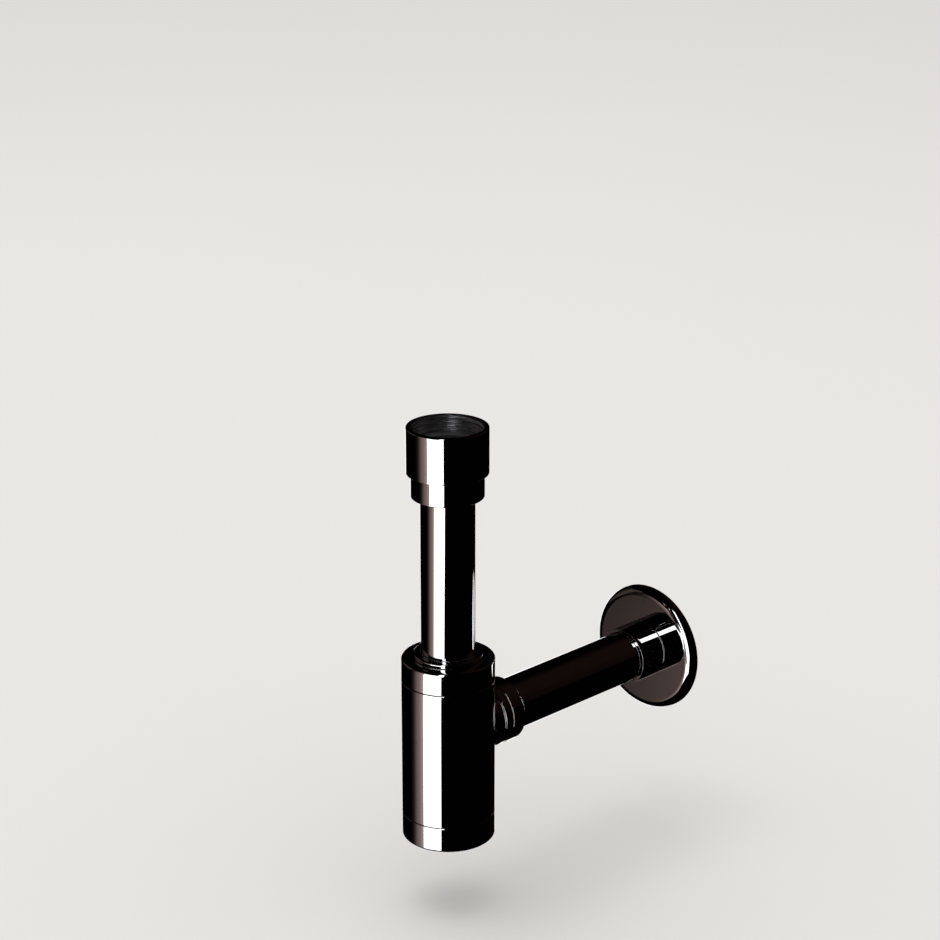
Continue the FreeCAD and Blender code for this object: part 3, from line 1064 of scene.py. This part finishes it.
class TRAP_OT_flange(TrapOperator):
    """Press the round wall plate with its hub and the groove that the grip ring sits in, and turn the
    sleeve
    """

    bl_idname = "trap.flange"
    bl_label = "Wall flange"

    def make(self):
        radius, hub, wall = span("wall_flange", OUTLET_AXIS)
        sleeve_r, sleeve_front, sleeve_back = span("flange_sleeve", OUTLET_AXIS)
        front = sleeve_back + SEAM
        _, grip_low, grip_high = span("flange_grip_ring", OUTLET_AXIS)
        boss_end = grip_high + GRIP_WALL
        plated_piece("wall_flange_pressed", "wall_plate", "wall_flange", [
            (FREE_R, hub, 0.3),
            (HUB_R, hub, 0.3),
            (HUB_R, front, 0.1),
            (radius, front, FLANGE_EDGE),
            (radius, wall, 0.3),
            (radius - PLATE, wall, 0.3),
            (radius - PLATE, front + PLATE, FLANGE_EDGE - PLATE),
            (GRIP_R + PLATE, front + PLATE, 0.6),
            (GRIP_R + PLATE, boss_end, 0.5),
            (FREE_R, boss_end, 0.3),
            (FREE_R, grip_high, 0.1),
            (GRIP_R, grip_high, 0.1),
            (GRIP_R, grip_low, 0.1),
            (FREE_R, grip_low, 0.1),
        ], OUTLET_AXIS)
        plated_piece("flange_sleeve_turned", "plate_sleeve", "flange_sleeve", [
            (FREE_R, sleeve_front, 0.08),
            (sleeve_r, sleeve_front, 0.12),
            (sleeve_r, sleeve_back, 0.3),
            (HUB_R + FIT, sleeve_back, 0.15),
            (HUB_R + FIT, sleeve_front + SLEEVE_LIP, 0.1),
            (FREE_R, sleeve_front + SLEEVE_LIP, 0.1),
        ], OUTLET_AXIS)


class TRAP_OT_hidden(TrapOperator):
    """Dress the seals, slip rings and thread rings that stay inside"""

    bl_idname = "trap.hidden"
    bl_label = "Inner rings"

    def make(self):
        finishes = {
            "black_rubber": seal_rubber,
            "white_plastic": slip_plastic,
            "plain_brass": turned_brass,
            "polished_chrome": bottle_chrome,
        }
        slots = {s["node"]: s["material_slot"] for s in frame["record"]["subparts"]}
        for name, node in frame["nodes"].items():
            material = material_named(finishes[slots[name]])
            node.data.materials.clear()
            node.data.materials.append(material)


class TRAP_OT_stage(TrapOperator):
    """Lay the pale floor, set the soft lights and cards, and place the camera"""

    bl_idname = "trap.stage"
    bl_label = "Stage"

    def make(self):
        self.floor()
        self.room()
        self.cards()
        self.key_light()
        self.camera()

    def floor(self):
        half = 15.0
        level = stage().floor_level
        mesh = bpy.data.meshes.new("floor")
        mesh.from_pydata([(-half, -half, level), (half, -half, level), (half, half, level),
                          (-half, half, level)], [], [(0, 1, 2, 3)])
        material, made, shader, coords = new_material("floor_paint")
        cloud = made.add("ShaderNodeTexNoise", {"Vector": coords, "Scale": 1.2, "Detail": 4.0})
        tinted(made, shader, cloud.outputs[0], stage().floor, scaled(stage().floor, 0.97))
        made.feed(shader, "Roughness", 0.85)
        made.feed(shader, "Specular IOR Level", 0.0)
        see_through_from_below(made, shader)
        mesh.materials.append(material)
        floor = linked("floor", mesh)
        floor.visible_glossy = False

    def room(self):
        """A pale room for the floor, and a dark one for what the chrome reflects."""
        world = bpy.data.worlds.new("studio_room")
        made = emptied(world)
        path = made.add("ShaderNodeLightPath")
        pale = made.add("ShaderNodeBackground", {
            "Color": (1.0, 0.985, 0.965, 1.0), "Strength": stage().room})
        dark = made.add("ShaderNodeBackground", {
            "Color": (0.0008, 0.0004, 0.0004, 1.0), "Strength": 1.0})
        mix = made.add("ShaderNodeMixShader", {0: path.outputs["Is Glossy Ray"], 1: pale, 2: dark})
        out = made.add("ShaderNodeOutputWorld")
        made.feed(out, "Surface", mix)
        bpy.context.scene.world = world

    def cards(self):
        """Curved glowing cards that only the chrome's reflections see."""
        turn = math.degrees(stage().azimuth)
        window, shade = stage().window, stage().shade
        white = (1.0, 0.99, 0.98)
        warm = (1.0, 0.72, 0.66)
        brown = (1.0, 0.50, 0.38)
        glow = 0.008
        card("window_card", start=turn - 63.5, end=turn - 17.3, low=-38.0, high=8.0, stops=[
            (0.0, white, window), (1.0, white, window)])
        card("high_window_card", start=turn - 30.0, end=turn - 17.3, low=8.0, high=55.0, stops=[
            (0.0, white, window), (1.0, white, window)])
        card("shade_card", start=turn - 106.0, end=turn - 63.7, low=-44.0, high=14.0, stops=[
            (0.0, warm, 0.0), (0.14, warm, 0.005 * shade), (0.26, warm, 0.013 * shade),
            (0.38, warm, 0.05 * shade), (0.5, warm, 0.12 * shade), (0.62, warm, 0.18 * shade),
            (0.75, warm, 0.22 * shade), (0.86, warm, 0.33 * shade), (1.0, warm, 0.40 * shade)])
        card("high_shade_card", start=turn - 150.0, end=turn - 100.0, low=-8.0, high=26.0, stops=[
            (0.0, warm, 0.0), (0.5, warm, 0.045 * shade), (1.0, warm, 0.06 * shade)])
        card("wall_card", start=turn + 65.0, end=turn + 160.0, low=8.0, high=70.0, stops=[
            (0.0, brown, 0.0), (0.3, brown, glow), (0.7, brown, glow), (1.0, brown, 0.0)])
        card("back_card", start=turn + 168.0, end=turn + 192.0, low=-45.0, high=-7.0, stops=[
            (0.0, white, 0.3 * window), (0.5, white, window), (1.0, white, 0.3 * window)])

    def key_light(self):
        light = bpy.data.lights.new("key_light", "AREA")
        light.shape = "DISK"
        light.size = 3.2
        light.energy = stage().key
        lamp = linked("key_light", light)
        lamp.location = (-0.9, -0.1, 3.6)
        aim = Vector((0.0, 0.1, -0.3)) - lamp.location
        lamp.rotation_euler = aim.to_track_quat("-Z", "Y").to_euler()
        lamp.visible_glossy = False
        lamp.visible_camera = False

    def camera(self):
        look = stage()
        data = bpy.data.cameras.new("camera")
        data.lens = look.lens
        data.sensor_width = 36.0
        data.clip_start = 0.05
        data.clip_end = 60.0
        camera = linked("camera", data)
        back = direction(math.degrees(look.azimuth), math.degrees(look.elevation))
        camera.location = Vector(look.aim) + back * look.distance
        camera.rotation_euler = (-back).to_track_quat("-Z", "Y").to_euler()
        bpy.context.scene.camera = camera


def direction(azimuth, elevation):
    """The unit vector at an azimuth from -Y towards +X and an elevation, in degrees."""
    a, e = math.radians(azimuth), math.radians(elevation)
    return Vector((math.sin(a) * math.cos(e), -math.cos(a) * math.cos(e), math.sin(e)))


def card_lean(elevation):
    """How far round the cards lean at an elevation, in degrees: most of it just above LEAN_FOOT."""
    above = elevation - LEAN_FOOT
    return LEAN * min(1.0, max(0.0, above / LEAN_RISE)) + 0.1 * min(0.0, above)


def card(name, start, end, low, high, stops):
    """A glowing card round the trap between two azimuths and elevations, in degrees.

    stops are (share of the width, colour, strength)."""
    columns, rows = 60, 30
    points, glow = [], []
    for j in range(rows + 1):
        elevation = low + (high - low) * j / rows
        for i in range(columns + 1):
            share = i / columns
            azimuth = start + (end - start) * share + card_lean(elevation)
            points.append(CARD_CENTRE + direction(azimuth, elevation) * CARD_REACH)
            glow.append(blend_stops(stops, share))
    faces = []
    for j in range(rows):
        for i in range(columns):
            a = j * (columns + 1) + i
            faces.append((a, a + 1, a + columns + 2, a + columns + 1))
    mesh = bpy.data.meshes.new(name)
    mesh.from_pydata(points, [], faces)
    tint = mesh.color_attributes.new("Glow", "FLOAT_COLOR", "POINT")
    for i, colour in enumerate(glow):
        tint.data[i].color = (*colour, 1.0)
    material = bpy.data.materials.new(name)
    made = emptied(material)
    colour = made.add("ShaderNodeVertexColor", layer_name="Glow")
    path = made.add("ShaderNodeLightPath")
    direct = made.math("LESS_THAN", path.outputs["Diffuse Depth"], 0.5)
    light = made.add("ShaderNodeEmission", {"Color": colour.outputs["Color"], "Strength": direct})
    made.feed(made.add("ShaderNodeOutputMaterial"), "Surface", light)
    mesh.materials.append(material)
    held = linked(name, mesh)
    for ray in ("camera", "diffuse", "shadow", "transmission"):
        setattr(held, "visible_" + ray, False)


def blend_stops(stops, share):
    """The colour times strength at a share of the way along a list of stops."""
    for (at, colour, strength), (to, next_colour, next_strength) in zip(stops, stops[1:]):
        if share <= to:
            t = (share - at) / (to - at)
            return [a * strength * (1 - t) + b * next_strength * t
                    for a, b in zip(colour, next_colour)]
    return [c * stops[-1][2] for c in stops[-1][1]]


class TRAP_PT_maker(bpy.types.Panel):
    """Lists the trap's pieces and settings in the sidebar"""

    bl_label = "Bottle Trap"
    bl_idname = "TRAP_PT_maker"
    bl_space_type = "VIEW_3D"
    bl_region_type = "UI"
    bl_category = "Trap"

    def draw(self, context):
        layout = self.layout
        for group in (turning(), finish(), stage()):
            box = layout.box()
            for name in group.bl_rna.properties.keys():
                if name not in ("rna_type", "name"):
                    box.prop(group, name)
        for operator in OPERATORS:
            layout.operator(operator.bl_idname)


OPERATORS = [
    TRAP_OT_inlet,
    TRAP_OT_dip_tube,
    TRAP_OT_cap,
    TRAP_OT_bottle,
    TRAP_OT_cup,
    TRAP_OT_outlet,
    TRAP_OT_flange,
    TRAP_OT_hidden,
    TRAP_OT_stage,
]
GROUPS = {"trap_turning": TrapTurning, "trap_finish": TrapFinish, "trap_stage": TrapStage}


def register():
    for name, group in GROUPS.items():
        bpy.utils.register_class(group)
        setattr(bpy.types.Scene, name, bpy.props.PointerProperty(type=group))
    for operator in OPERATORS:
        bpy.utils.register_class(operator)
    bpy.utils.register_class(TRAP_PT_maker)


def unregister():
    bpy.utils.unregister_class(TRAP_PT_maker)
    for operator in reversed(OPERATORS):
        bpy.utils.unregister_class(operator)
    for name, group in GROUPS.items():
        delattr(bpy.types.Scene, name)
        bpy.utils.unregister_class(group)


def main():
    register()
    bpy.context.scene.view_settings.view_transform = "Standard"
    for operator in OPERATORS:
        family, name = operator.bl_idname.split(".")
        getattr(getattr(bpy.ops, family), name)()


if __name__ == "__main__":
    main()
